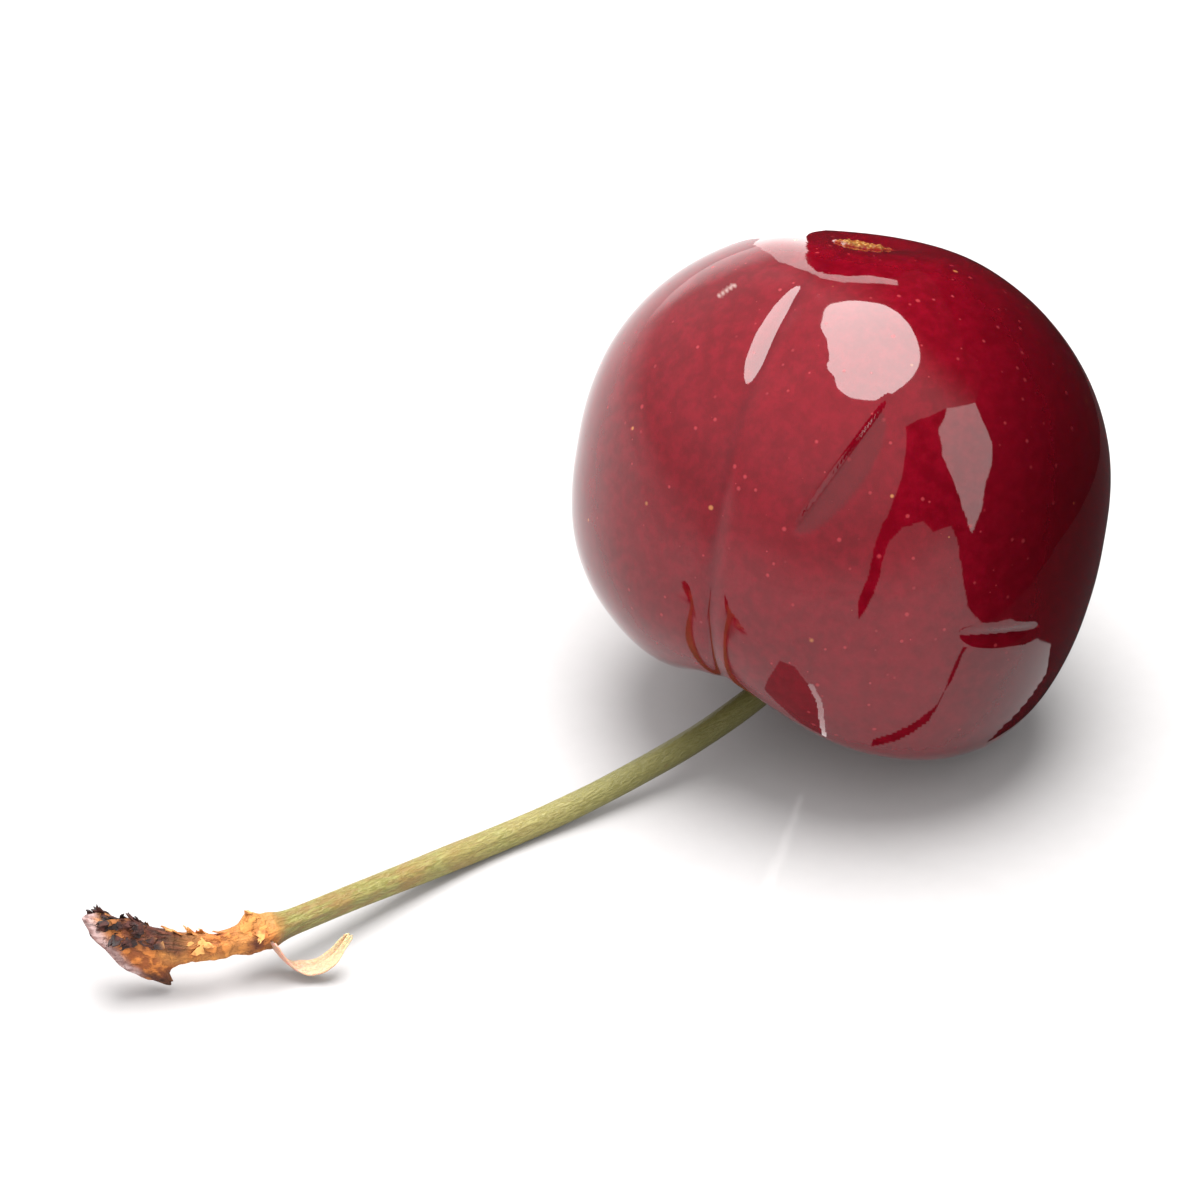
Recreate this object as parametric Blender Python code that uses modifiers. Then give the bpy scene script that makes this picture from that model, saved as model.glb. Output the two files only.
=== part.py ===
"""A sweet cherry on its stalk, lying on a level surface.

The fruit leans over on its shoulders with the stylar end up.  The stalk comes
out of the cavity under the seam notch, touches the surface part way along and
ends in the torn heel where it came off the twig.  The stalk runs along -X, the
surface is z = 0 and the origin is the middle of the fruit's flat resting patch.
"""
from math import cos, radians, sin

import bmesh
import bpy
import numpy as np
from mathutils import Matrix, Vector

MM = 0.001

# Fruit, in its own frame: u towards the seam, v across it, w towards the stalk.
FRUIT_THICKNESS = 25.0 * MM
FRUIT_WIDTH = 27.4 * MM
FRUIT_HEIGHT = 25.5 * MM
STYLAR_LENGTHENING = 0.55 * MM
FULLNESS = 2.35
SHOULDER_FULLNESS = 0.33
SHOULDER_OFFSET = 1.8 * MM
SHOULDER_SPREAD = 0.45
BROADER_SHOULDER = 0.03
CAVITY_DEPTH = 5.2 * MM
CAVITY_RADIUS = 4.3 * MM
CAVITY_CROWDING = 0.3
NOTCH_DEPTH = 1.5 * MM
BACK_NOTCH_DEPTH = 0.4 * MM
NOTCH_ANGLE = 0.5
NOTCH_RING = 5.5 * MM
NOTCH_LENGTH = 3.5 * MM
STYLAR_PIT_DEPTH = 1.0 * MM
STYLAR_PIT_RADIUS = 3.0 * MM
STYLAR_PIT_BREADTH = 1.25
STYLAR_PIT_PLACE = (-0.4 * MM, 0.3 * MM)
END_BLEND = 1.5 * MM
VALLEY_DEPTH = 0.45 * MM
VALLEY_WIDTH = 3.6 * MM
SEAM_DEPTH = 0.14 * MM
SEAM_WIDTH = 0.55 * MM
SEAM_START = 1.5 * MM
SEAM_BLEND = 0.6 * MM

# How the fruit lies.
LEAN = radians(24.4)
LEAN_HEADING = radians(33.5)
SEAM_TURN = radians(9.9)
RESTING_SAG = 0.15 * MM
FRUIT_DIVISIONS = 20

# Stalk.  Reach is counted along -X and side along +Y from the fruit's middle.
STALK_THICKNESS = 1.3 * MM
STALK_GAP = 0.38 * MM
STALK_REACH = 43.4 * MM
TOUCH_FRACTION = 0.484
TOUCH_SIDE = -1.6 * MM
KNEE_FRACTION = 0.84
KNEE_SIDE = -3.3 * MM
KNEE_RISE = 1.6 * MM
TIP_SIDE = -0.6 * MM
TIP_RISE = 1.65 * MM
TIP_TURN = radians(35.0)
LEAVING_LENGTH = 3.2 * MM
LANDING_LENGTH = 7.0 * MM
STALK_STATIONS = 56
STALK_SIDES_STEP = 4

# Swellings along the stalk, as added radius and half length.
BASE_SWELL = 0.3 * MM
BASE_SWELL_LENGTH = 1.5 * MM
BASE_ROUNDING = 0.9 * MM
BASE_END_SHARE = 0.45
COLLAR_SWELL = 0.2 * MM
COLLAR_LENGTH = 1.1 * MM
COLLAR_FROM_TIP = 7.3 * MM

# Torn heel at the far end.
HEEL_LENGTH = 4.2 * MM
HEEL_DEPTH = 3.4 * MM
HEEL_BREADTH = 2.0 * MM
HEEL_SLOPE = 1.25

# Papery bract that hangs from the collar and curls up again.
BRACT_RUN = 3.7 * MM
BRACT_WIDTH = 1.1 * MM
BRACT_END_SHARE = 0.4
BRACT_THICKNESS = 0.25 * MM
BRACT_SWEEP = 1.3 * MM
BRACT_LOWEST = 0.45 * MM
BRACT_LOWEST_AT = 0.36
BRACT_RISE = 1.5 * MM
BRACT_CUP = 0.12 * MM
BRACT_GAP = 0.32 * MM


def clear_scene():
    for old in list(bpy.data.objects):
        bpy.data.objects.remove(old, do_unlink=True)


def bump(distance, reach):
    return np.exp(-((distance / reach) ** 2))


def ease(value):
    value = np.clip(value, 0.0, 1.0)
    return value * value * (3.0 - 2.0 * value)


def fruit_surface(directions):
    """Surface points of the fruit, in its own frame, for unit directions."""
    polar = np.arccos(np.clip(directions[:, 2], -1.0, 1.0))
    around = np.arctan2(directions[:, 1], directions[:, 0])
    # Rows crowd together in the cavity, where the surface bends most.
    polar = polar * (1.0 - CAVITY_CROWDING * bump(polar, 0.9))
    sine = np.sin(polar)
    cosine = np.cos(polar)
    power = FULLNESS + SHOULDER_FULLNESS * cosine
    radius = (np.abs(sine) ** power + np.abs(cosine) ** power) ** (-1.0 / power)
    x = radius * sine * np.cos(around) * FRUIT_THICKNESS / 2
    y = radius * sine * np.sin(around) * FRUIT_WIDTH / 2
    z = radius * cosine * (FRUIT_HEIGHT / 2 - STYLAR_LENGTHENING * cosine)
    from_axis = np.hypot(x, y)
    stalk_end = 1.0 / (1.0 + np.exp(-z / END_BLEND))
    across = y / (FRUIT_WIDTH / 2)

    # One shoulder stands further out than the other.
    z = z - SHOULDER_OFFSET * across * bump(polar - 0.6, SHOULDER_SPREAD)
    # The cavity, notched on the seam side and a little at the back.
    ring = bump(from_axis - NOTCH_RING, NOTCH_LENGTH) * (1.0 - bump(from_axis, CAVITY_RADIUS / 2))
    z = z - stalk_end * NOTCH_DEPTH * bump(around, NOTCH_ANGLE) * ring
    z = z - stalk_end * BACK_NOTCH_DEPTH * bump(np.abs(around) - np.pi, NOTCH_ANGLE) * ring
    z = z - stalk_end * CAVITY_DEPTH * bump(from_axis, CAVITY_RADIUS)
    # The shallow stylar pit.
    pit_x = (x - STYLAR_PIT_PLACE[0]) / STYLAR_PIT_RADIUS
    pit_y = (y - STYLAR_PIT_PLACE[1]) / (STYLAR_PIT_RADIUS * STYLAR_PIT_BREADTH)
    z = z + (1.0 - stalk_end) * STYLAR_PIT_DEPTH * np.exp(-(pit_x ** 2 + pit_y ** 2))
    # The broad valley and the fine seam down the front.
    front = 1.0 / (1.0 + np.exp(-(x - SEAM_START) / SEAM_BLEND))
    inward = front * (VALLEY_DEPTH * bump(y, VALLEY_WIDTH) + SEAM_DEPTH * bump(y, SEAM_WIDTH))
    points = np.stack([x, y, z], axis=1)
    points -= points / np.linalg.norm(points, axis=1)[:, None] * inward[:, None]
    return points * (1.0 - BROADER_SHOULDER * across)[:, None]


def fruit_axes():
    """Columns u, v, w of the fruit's own frame as it lies."""
    heading = Vector((-cos(LEAN_HEADING), -sin(LEAN_HEADING), 0.0))
    up = Vector((0.0, 0.0, 1.0))
    w = sin(LEAN) * heading - cos(LEAN) * up
    level = cos(LEAN) * heading + sin(LEAN) * up
    u = cos(SEAM_TURN) * level + sin(SEAM_TURN) * w.cross(level)
    v = w.cross(u)
    return Matrix((u, v, w)).transposed()


def to_scene(name, mesh, colour, roughness):
    """Put a mesh in the cherry's collection under its own material."""
    material = bpy.data.materials.new(name + "_material")
    material.use_nodes = True
    shader = material.node_tree.nodes["Principled BSDF"]
    shader.inputs["Base Color"].default_value = (*colour, 1.0)
    shader.inputs["Roughness"].default_value = roughness
    mesh.materials.clear()
    mesh.materials.append(material)
    mesh.name = name
    for polygon in mesh.polygons:
        polygon.use_smooth = True
    piece = bpy.data.objects.new(name, mesh)
    bpy.data.collections["cherry_on_stalk"].objects.link(piece)
    return piece


def build_fruit():
    """The fruit, cut flat where it rests; also returns its middle."""
    bm = bmesh.new()
    bmesh.ops.create_cube(bm, size=2.0)
    bmesh.ops.subdivide_edges(
        bm, edges=bm.edges[:], cuts=FRUIT_DIVISIONS - 1, use_grid_fill=True)
    cube = np.array([vertex.co[:] for vertex in bm.verts])
    ball = np.tan(cube * np.pi / 4)
    ball /= np.linalg.norm(ball, axis=1)[:, None]
    axes = np.array(fruit_axes())
    placed = fruit_surface(ball) @ axes.T
    floor = placed[:, 2].min() + RESTING_SAG
    for vertex, point in zip(bm.verts, placed):
        vertex.co = Vector(point) - Vector((0.0, 0.0, floor))
        if abs(vertex.co.z) < RESTING_SAG / 5:
            vertex.co.z = 0.0
    cut = bmesh.ops.bisect_plane(
        bm, geom=bm.verts[:] + bm.edges[:] + bm.faces[:], dist=0.001 * MM,
        plane_co=(0.0, 0.0, 0.0), plane_no=(0.0, 0.0, 1.0), clear_inner=True)
    rim = [edge for edge in cut["geom_cut"] if isinstance(edge, bmesh.types.BMEdge)]
    patch = bmesh.ops.contextual_create(bm, geom=rim)["faces"][0]
    seat = patch.calc_center_median_weighted()
    for vertex in bm.verts:
        vertex.co -= seat
    bmesh.ops.recalc_face_normals(bm, faces=bm.faces[:])
    mesh = bpy.data.meshes.new("fruit")
    bm.to_mesh(mesh)
    bm.free()
    to_scene("fruit", mesh, (0.35, 0.008, 0.03), 0.12)
    return Vector((-seat.x, -seat.y, -floor))


def bezier(a, b, c, d, count):
    t = np.linspace(0.0, 1.0, count)[:, None]
    s = 1.0 - t
    return s ** 3 * a + 3 * s * s * t * b + 3 * s * t * t * c + t ** 3 * d


def stalk_centreline(middle):
    """Evenly spaced points from the cavity floor to the middle of the heel."""
    axes = fruit_axes()
    w = np.array(axes.col[2])
    fruit = np.array(middle)
    base = fruit + w * (fruit_surface(np.array([[0.0, 0.0, 1.0]]))[0, 2] + STALK_GAP)
    half = STALK_THICKNESS / 2
    reach = STALK_REACH

    def place(fraction, side, height):
        return np.array([fruit[0] - fraction * reach, fruit[1] + side, height])

    touch = place(TOUCH_FRACTION, TOUCH_SIDE, half)
    knee = place(KNEE_FRACTION, KNEE_SIDE, half + KNEE_RISE)
    tip = place(1.0, TIP_SIDE, half + TIP_RISE)
    along = np.array([-1.0, 0.0, 0.0])
    rising = np.array([-1.0, -0.05, 0.05])
    turned = np.array([-cos(TIP_TURN), sin(TIP_TURN), 0.0])
    middle_span = (KNEE_FRACTION - TOUCH_FRACTION) * reach / 3
    last_span = (1.0 - KNEE_FRACTION) * reach / 3
    route = np.concatenate([
        bezier(base, base + w * LEAVING_LENGTH, touch - along * LANDING_LENGTH, touch, 200),
        bezier(touch, touch + along * middle_span, knee - rising * middle_span, knee, 200)[1:],
        bezier(knee, knee + rising * last_span, tip - turned * last_span, tip, 100)[1:],
    ])
    steps = np.linalg.norm(np.diff(route, axis=0), axis=1)
    travelled = np.concatenate([[0.0], np.cumsum(steps)])
    stations = np.linspace(0.0, travelled[-1], STALK_STATIONS)
    points = np.stack([np.interp(stations, travelled, route[:, k]) for k in range(3)], axis=1)
    return points, stations


def stalk_radius(stations):
    """Radius along the stalk, with the swollen base and the collar."""
    radius = STALK_THICKNESS / 2 + BASE_SWELL * bump(stations, BASE_SWELL_LENGTH)
    radius += COLLAR_SWELL * bump(stations[-1] - stations - COLLAR_FROM_TIP, COLLAR_LENGTH)
    rounding = np.clip(1.0 - stations / BASE_ROUNDING, 0.0, 1.0)
    return radius * (1.0 - (1.0 - BASE_END_SHARE) * rounding ** 2)


def shape_heel(mesh, tip, forward):
    """Flare the end of the stalk and cut it on the slant, top edge foremost."""
    across = Vector((0.0, 0.0, 1.0)).cross(forward).normalized()
    for vertex in mesh.vertices:
        offset = vertex.co - tip
        along = offset.dot(forward)
        if along < -HEEL_LENGTH or offset.length > 2 * HEEL_LENGTH:
            continue
        amount = float(ease(1.0 + along / HEEL_LENGTH))
        height = offset.z * (1.0 + amount * (HEEL_DEPTH / STALK_THICKNESS - 1.0))
        breadth = offset.dot(across) * (1.0 + amount * (HEEL_BREADTH / STALK_THICKNESS - 1.0))
        along += amount * HEEL_SLOPE * height
        vertex.co = tip + forward * along + across * breadth
        vertex.co.z += height


def build_stalk(middle):
    points, stations = stalk_centreline(middle)
    radii = stalk_radius(stations)
    curve = bpy.data.curves.new("stalk_curve", "CURVE")
    curve.dimensions = "3D"
    curve.twist_mode = "Z_UP"
    curve.bevel_depth = STALK_THICKNESS / 2
    curve.bevel_resolution = STALK_SIDES_STEP
    curve.use_fill_caps = True
    spline = curve.splines.new("POLY")
    spline.points.add(len(points) - 1)
    for knot, point, radius in zip(spline.points, points, radii):
        knot.co = (*point, 1.0)
        knot.radius = radius / curve.bevel_depth
    holder = bpy.data.objects.new("stalk_curve", curve)
    bpy.context.scene.collection.objects.link(holder)
    mesh = bpy.data.meshes.new_from_object(holder.evaluated_get(bpy.context.evaluated_depsgraph_get()))
    bpy.data.objects.remove(holder, do_unlink=True)

    bm = bmesh.new()
    bm.from_mesh(mesh)
    bmesh.ops.remove_doubles(bm, verts=bm.verts[:], dist=0.01 * MM)
    bmesh.ops.recalc_face_normals(bm, faces=bm.faces[:])
    bm.to_mesh(mesh)
    bm.free()
    tip = Vector(points[-1])
    forward = (tip - Vector(points[-2]))
    forward.z = 0.0
    shape_heel(mesh, tip, forward.normalized())
    # The stalk's lowest line touches the surface.
    lowest = min(vertex.co.z for vertex in mesh.vertices)
    for vertex in mesh.vertices:
        vertex.co.z -= lowest
    to_scene("stalk", mesh, (0.42, 0.36, 0.10), 0.55)
    return points, stations, radii


def build_bract(points, stations, radii):
    """A thin cupped strip on the -Y side of the collar, widest part way along."""
    at_collar = int(np.argmin(np.abs(stations[-1] - stations - COLLAR_FROM_TIP)))
    start = Vector(points[at_collar])
    start.y -= radii[at_collar] + BRACT_GAP + BRACT_END_SHARE * BRACT_WIDTH / 2
    bm = bmesh.new()
    bmesh.ops.create_grid(bm, x_segments=14, y_segments=4, size=0.5)
    for vertex in bm.verts:
        along = vertex.co.x + 0.5
        across = 2 * vertex.co.y
        share = BRACT_END_SHARE + (1.0 - BRACT_END_SHARE) * sin(np.pi * along) ** 0.7
        falling = max(0.0, 1.0 - along / BRACT_LOWEST_AT)
        rising = max(0.0, along - BRACT_LOWEST_AT) / (1.0 - BRACT_LOWEST_AT)
        height = BRACT_LOWEST + (start.z - BRACT_LOWEST) * falling ** 2
        vertex.co = Vector((
            start.x + along * BRACT_RUN,
            start.y - BRACT_SWEEP * ease(1.4 * along) + across * share * BRACT_WIDTH / 2,
            height + BRACT_RISE * rising ** 1.6 + BRACT_CUP * across ** 2,
        ))
    mesh = bpy.data.meshes.new("papery_bract")
    bm.to_mesh(mesh)
    bm.free()
    piece = to_scene("papery_bract", mesh, (0.72, 0.52, 0.38), 0.6)
    shell = piece.modifiers.new("thickness", "SOLIDIFY")
    shell.thickness = BRACT_THICKNESS
    shell.offset = 0.0


def main():
    clear_scene()
    collection = bpy.data.collections.new("cherry_on_stalk")
    bpy.context.scene.collection.children.link(collection)
    middle = build_fruit()
    points, stations, radii = build_stalk(middle)
    build_bract(points, stations, radii)


main()
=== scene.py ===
"""Finished look of a sweet cherry on its stalk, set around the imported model.

The fruit, the stalk and the papery bract are remodelled in detail in the space
their plain solids hold.  Lengths are metres, z = 0 is the surface.
"""
from math import cos, pi, radians, sin

import bmesh
import bpy
import numpy as np
from mathutils import Matrix, Vector, noise

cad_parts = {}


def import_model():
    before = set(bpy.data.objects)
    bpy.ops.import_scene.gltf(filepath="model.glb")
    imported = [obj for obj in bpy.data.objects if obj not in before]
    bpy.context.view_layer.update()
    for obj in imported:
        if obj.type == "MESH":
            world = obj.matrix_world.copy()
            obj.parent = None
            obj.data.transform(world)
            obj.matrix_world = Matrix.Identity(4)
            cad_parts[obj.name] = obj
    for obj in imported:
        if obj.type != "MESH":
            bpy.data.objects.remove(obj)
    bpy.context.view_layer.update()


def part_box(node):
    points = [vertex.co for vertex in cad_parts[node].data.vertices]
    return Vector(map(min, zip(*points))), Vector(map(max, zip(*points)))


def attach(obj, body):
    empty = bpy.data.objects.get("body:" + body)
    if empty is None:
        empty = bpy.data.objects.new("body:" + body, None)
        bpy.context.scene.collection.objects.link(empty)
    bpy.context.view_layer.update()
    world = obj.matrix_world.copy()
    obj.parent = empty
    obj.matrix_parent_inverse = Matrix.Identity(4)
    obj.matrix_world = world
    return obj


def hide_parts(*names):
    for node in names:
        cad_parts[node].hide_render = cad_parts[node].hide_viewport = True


MM = 0.001
UPWARDS = (0.0, 0.0, 1.0)

# Fruit, in its own frame: u towards the seam, v across it, w towards the stalk.
FRUIT_THICKNESS = 25.0 * MM
FRUIT_WIDTH = 27.4 * MM
FRUIT_HEIGHT = 25.5 * MM
STYLAR_LENGTHENING = 0.55 * MM
FULLNESS = 2.35
SHOULDER_FULLNESS = 0.33
SHOULDER_OFFSET = 1.8 * MM
SHOULDER_AT = 0.6
SHOULDER_SPREAD = 0.45
BROADER_SHOULDER = 0.03
CAVITY_DEPTH = 5.2 * MM
CAVITY_RADIUS = 4.3 * MM
CAVITY_CROWDING = 0.3
CAVITY_CROWDING_SPREAD = 0.9
NOTCH_DEPTH = 1.5 * MM
BACK_NOTCH_DEPTH = 0.4 * MM
NOTCH_ANGLE = 0.5
NOTCH_RING = 5.5 * MM
NOTCH_LENGTH = 3.5 * MM
STYLAR_PIT_DEPTH = 1.0 * MM
STYLAR_PIT_RADIUS = 3.0 * MM
STYLAR_PIT_BREADTH = 1.25
STYLAR_PIT_PLACE = (-0.4 * MM, 0.3 * MM)
END_BLEND = 1.5 * MM
VALLEY_DEPTH = 0.45 * MM
VALLEY_WIDTH = 3.6 * MM
SEAM_DEPTH = 0.14 * MM
SEAM_WIDTH = 0.55 * MM
SEAM_START = 1.5 * MM
SEAM_BLEND = 0.6 * MM
SEAM_END_FROM = -9.3 * MM
SEAM_END_LENGTH = 1.9 * MM
VALLEY_END_SHARE = 0.3
CROWN_HEIGHT = 1.2 * MM
CROWN_ROOM = 0.03 * MM
LEAN = radians(24.4)
LEAN_HEADING = radians(33.5)
SEAM_TURN = radians(9.9)
FRUIT_CUTS = 117
FRUIT_SHRINK = 0.9985

# Marks on the fruit, in its own frame; bare places are in millimetres.  Each crease
# has its ends, its depth, and the widths of its steep and its gentle side.
CREASES = (
    ((8.9, -6.9, -7.0), (11.9, -4.2, 0.2), 0.30, 0.30, 1.15),
    ((2.1, -13.6, 3.7), (6.7, -11.6, 4.05), 0.20, 0.22, 0.95),
)
CREASE_END_SHARE = 0.35
CREASE_SHARPNESS = 1.15
CREASE_FADE = 0.7
# Painted shade along the first crease's gentle side: its width, soft edge, overlap and shift.
CREASE_SHADE_WIDTH = 1.45
CREASE_SHADE_EDGE = 0.25
CREASE_SHADE_OVERLAP = 0.12
CREASE_SHADE_SHIFT = 0.08
HOLLOWS = (
    ((8.3, -0.9, -9.6), (11.2, -1.0, -5.4), 0.25, 1.4, 1.7),
    ((4.6, 0.2, -11.7), (8.0, 0.3, -9.9), -0.10, 1.6, 1.2),
)
# A painted glint: a short pale streak between these two points, with its width and edge.
PAINTED_GLINT = ((7.60, 4.15, -9.64), (7.06, 3.71, -10.18))
PAINTED_GLINT_WIDTH = 0.11 * MM
PAINTED_GLINT_EDGE = 1.6
RUB_PLACE = (9.40, -3.10, -8.10)
RUB_REACH = 1.5 * MM
RUB_HEIGHT = 0.014 * MM
RUB_GRAIN = 0.4 * MM
RUB_STRETCH = (1.0, 0.55, 1.0)
CROWDED = (
    ((10.4, -6.0, -3.6), 0.42, 0.45),
    ((4.4, -12.7, 4.0), 0.26, 0.40),
    ((0.3, 0.45, -12.3), 0.22, 0.45),
)
SCAR_PLACE = (0.30 * MM, 0.45 * MM)
SCAR_HALF_LENGTH = 1.15 * MM
SCAR_HALF_WIDTH = 0.62 * MM
SCAR_DIRECTION = (0.367, 0.930)
SCAR_HEIGHT = 0.28 * MM
SCAR_EDGE_GRAIN = 0.35 * MM
CORK_GRAIN = 0.22 * MM
WAVE_LENGTH = 7.0 * MM
WAVE_HEIGHT = 0.055 * MM
RIPPLE_LENGTH = 2.4 * MM
RIPPLE_HEIGHT = 0.014 * MM
DIMPLE_LENGTH = 0.8 * MM
DIMPLE_HEIGHT = 0.003 * MM
SEAM_TINT_WIDTH = 0.3 * MM
SEAM_TINT_FROM = 1.0 * MM
# Painted shade in the stalk cavity: where it starts, how fast it comes in, and how far out it
# reaches.
CAVITY_SHADE_FROM = 4.0 * MM
CAVITY_SHADE_LENGTH = 4.0 * MM
CAVITY_SHADE_RADIUS = 5.5 * MM
# Painted shade: the skin darkens across the side on the viewer's right, from this far out over
# this length.
RIGHT_SHADE_FROM = 2.5 * MM
RIGHT_SHADE_LENGTH = 10.5 * MM

# Stalk.  Reach is counted along -X and side along +Y from the fruit's middle.
STALK_THICKNESS = 1.3 * MM
STALK_GAP = 0.38 * MM
STALK_REACH = 43.4 * MM
TOUCH_FRACTION = 0.484
TOUCH_SIDE = -1.6 * MM
KNEE_FRACTION = 0.84
KNEE_SIDE = -3.3 * MM
KNEE_RISE = 1.6 * MM
TIP_SIDE = -0.6 * MM
TIP_RISE = 1.65 * MM
TIP_TURN = radians(35.0)
LEAVING_LENGTH = 3.2 * MM
LANDING_LENGTH = 7.0 * MM
STALK_STATIONS = 420
STALK_SIDES_STEP = 14
INSET_RINGS = 9
BASE_SWELL = 0.3 * MM
BASE_SWELL_LENGTH = 1.5 * MM
BASE_ROUNDING = 0.9 * MM
BASE_END_SHARE = 0.45
RIB_HEIGHT = 0.012
DRY_RIB_HEIGHT = 0.02
DRY_FROM = 12.0 * MM
DRY_LENGTH = 22.0 * MM
# Painted shade: the stalk is darkened near the fruit and fades out further along.
FRUIT_SHADE_TO = 7.0 * MM
FRUIT_SHADE_FADE = 13.0 * MM
LUMP_LENGTH = 1.6 * MM
LUMP_HEIGHT = 0.03 * MM
FIBRE_LENGTH = 3.0 * MM
COLLAR_SWELL = 0.2 * MM
COLLAR_LENGTH = 1.1 * MM
COLLAR_FROM_TIP = 7.3 * MM
COLLAR_RIDGE_LENGTH = 0.75 * MM
BARK_BEFORE_COLLAR = 1.2 * MM
BARK_EDGE = 1.6 * MM
ROUGH_GRAIN = 0.38 * MM
COARSE_GRAIN = 0.9 * MM
SPLINTER_GRAIN = 0.22 * MM
SPUR_AFTER_COLLAR = 0.7 * MM
SPUR_LENGTH = 0.45 * MM
SPUR_ANGLE = 1.75
SPUR_BREADTH = 0.42
SPUR_HEIGHT = 0.5 * MM
NECK_FROM_TIP = 5.2 * MM
NECK_LENGTH = 0.8 * MM
NECK_DEPTH = 0.12 * MM
HEEL_LENGTH = 4.2 * MM
HEEL_ROOM = 1.2
HEEL_DEPTH = 3.4 * MM
HEEL_BREADTH = 2.0 * MM
HEEL_SLOPE = 1.25
HEEL_TOP_SLOPE = 0.8
HEEL_CROWN = 0.16
HEEL_HUMP = 0.30
HEEL_HUMP_AT = 1.9 * MM
HEEL_HUMP_LENGTH = 1.3 * MM
HEEL_HOOK = 2.2
TORN_RIM = 0.5 * MM
TORN_HOLLOW = 0.32
HEEL_FLAKES = 44
HEEL_FLAKES_TO = 3.4 * MM
NECK_FLAKES = 20
FLAKE_ROOM = 1.1 * MM
FLAKE_SIZE = (0.32, 0.38)
FLAKE_THICKNESS = 0.07 * MM

# Papery bract that hangs from the collar and curls up again.
BRACT_RUN = 3.7 * MM
BRACT_WIDTH = 1.5 * MM
BRACT_END_SHARE = 0.3
BRACT_WIDEST = 0.55
BRACT_THICKNESS = 0.09 * MM
BRACT_SWEEP = 1.3 * MM
BRACT_LOWEST = 0.45 * MM
BRACT_LOWEST_AT = 0.36
BRACT_RISE = 1.5 * MM
BRACT_CUP = 0.12 * MM
BRACT_GAP = 0.1 * MM

# Share of a dot's radius that has its full strength.
DOT_HEART = 0.35

# Viewpoint.
VIEW_AZIMUTH = radians(-34.8)
VIEW_ELEVATION = radians(35.0)
VIEW_DISTANCE = 700 * MM
VIEW_WIDTH = 60 * MM
AIM_RIGHT = -11.7 * MM
AIM_UP = -5.7 * MM

# Light.  Card outlines are (degrees round the fruit, millimetres up) for the upright
# card and (degrees, millimetres out from the fruit's middle) for the floor mat.
FLOOR_SIZE = 1.2
SOFTBOX_DIRECTION = (0.083, 0.137, 0.968)
SOFTBOX_DISTANCE = 1200 * MM
SOFTBOX_SIZE = (960 * MM, 1400 * MM)
SOFTBOX_POWER = 32.0
CARD_RADIUS = 45.0
CARD_RANGE = (-90.0, 106.0)
CARD_HEIGHT = 90.0
# Painted reflection: the dark card puts dark shapes into the skin, mostly on its right-hand
# side.
DARK_CARD = (
    (-90, 9), (-85, 13.7), (-82, 19.6), (-80, 23.4), (-75, 26), (-67, 26.5), (-63, 23),
    (-56, 23), (-54, 15), (-50, 5), (-44, 0), (89.6, 0), (89.5, 13.4), (89.8, 21),
    (91.8, 32.7), (95, 41.6), (93.4, 45), (93.4, 47.4), (92.6, 51.3), (91.3, 53.4),
    (88.3, 53), (84.6, 51), (79, 51.3), (76.5, 46), (76.5, 39.5), (75, 34.8), (67.5, 41.5),
    (55, 53.8), (40.2, 63.9), (24.4, 64.3), (11, 59), (-4, 60), (-12, 60), (-30, 71.5),
    (-50, 74), (-62, 73), (-66, 60), (-71, 46.5), (-76, 36), (-80, 29), (-84, 24), (-86, 19),
    (-90, 12))
# Painted reflections: the pale cards glow and put pale patches and a pale line into the skin.
REFLECTION_GLOW_CARDS = (
    ((89.6, 0), (97, 0), (97.5, 12), (101.5, 19.4), (102.6, 31), (102.4, 43),
     (99.5, 44.6), (96, 48), (95, 53), (94.8, 58.5), (93.5, 60.3), (88, 60),
     (82, 58.8), (75.5, 56.5), (76.8, 51.5), (80.6, 51.6), (84.6, 51), (88.3, 53),
     (91.3, 53.4), (92.6, 51.3), (93.4, 47.4), (93.4, 45), (95, 41.6), (91.8, 32.7),
     (89.8, 21), (89.5, 13.4)),
    ((-12, 60), (-20, 52), (-25.4, 39.8), (-31, 34), (-39, 29), (-43, 23.7),
     (-49, 19.2), (-51, 25.7), (-51.6, 35.6), (-51, 46.8), (-44.5, 61), (-30, 71.5)))
MAT_RANGE = (-130.0, 92.0)
# Painted shadows on the floor, seen only in reflections: a dark region and a thin dark arc.
SHADE_MATS = (
    ((-44, 45), (-30, 36.5), (-26, 27.5), (-12.5, 20.5), (-14, 16.2), (-24, 14.2),
     (-36, 12.6), (-40, 11), (91, 11), (91, 45)),
    ((-47.5, 40), (-52.5, 33), (-56.5, 25.5), (-62.5, 20.6), (-71, 17.6), (-83, 14),
     (-83, 12), (-72, 15.4), (-64.5, 18.2), (-59, 23), (-55.5, 30.5), (-51, 38)))
# Painted shadow: a grey patch that the skin mirrors below the stalk notch.
GREY_SHADE_MAT = (
    (-120, 28.8), (-113, 28.8), (-106.7, 23.8), (-103, 18.8), (-101, 8.9),
    (-111.6, 9), (-118.6, 12.2), (-124.6, 15))
# Painted highlight: a glowing strip on the floor that the skin mirrors as a pale line along the
# lip.
HIGHLIGHT_GLOW_MAT = (
    (-106.5, 23.5), (-103, 18.8), (-101.2, 8.9), (-99.4, 9), (-100.9, 19.2),
    (-104.9, 24.3))
CARD_STEP = 0.5
GLOW_STRENGTH = (1.5, 2.0)
# Walls: a direction (upwards for the first two), then the agreement with it where a
# change starts and ends, and the brightness at each.
LOW_WALL = (-0.03, 0.20, 1.10, 0.64)
HIGH_WALL = (0.10, 0.60, 0.0, 0.24)
DARK_SIDE = ((0.945, 0.098, 0.30), 0.45, 0.80, 1.0, 0.08)
DOORWAY = ((0.388, 0.922, 0.0), 0.92, 0.99, 0.0, 1.0)
FILL_LIGHT = 1.1


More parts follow.
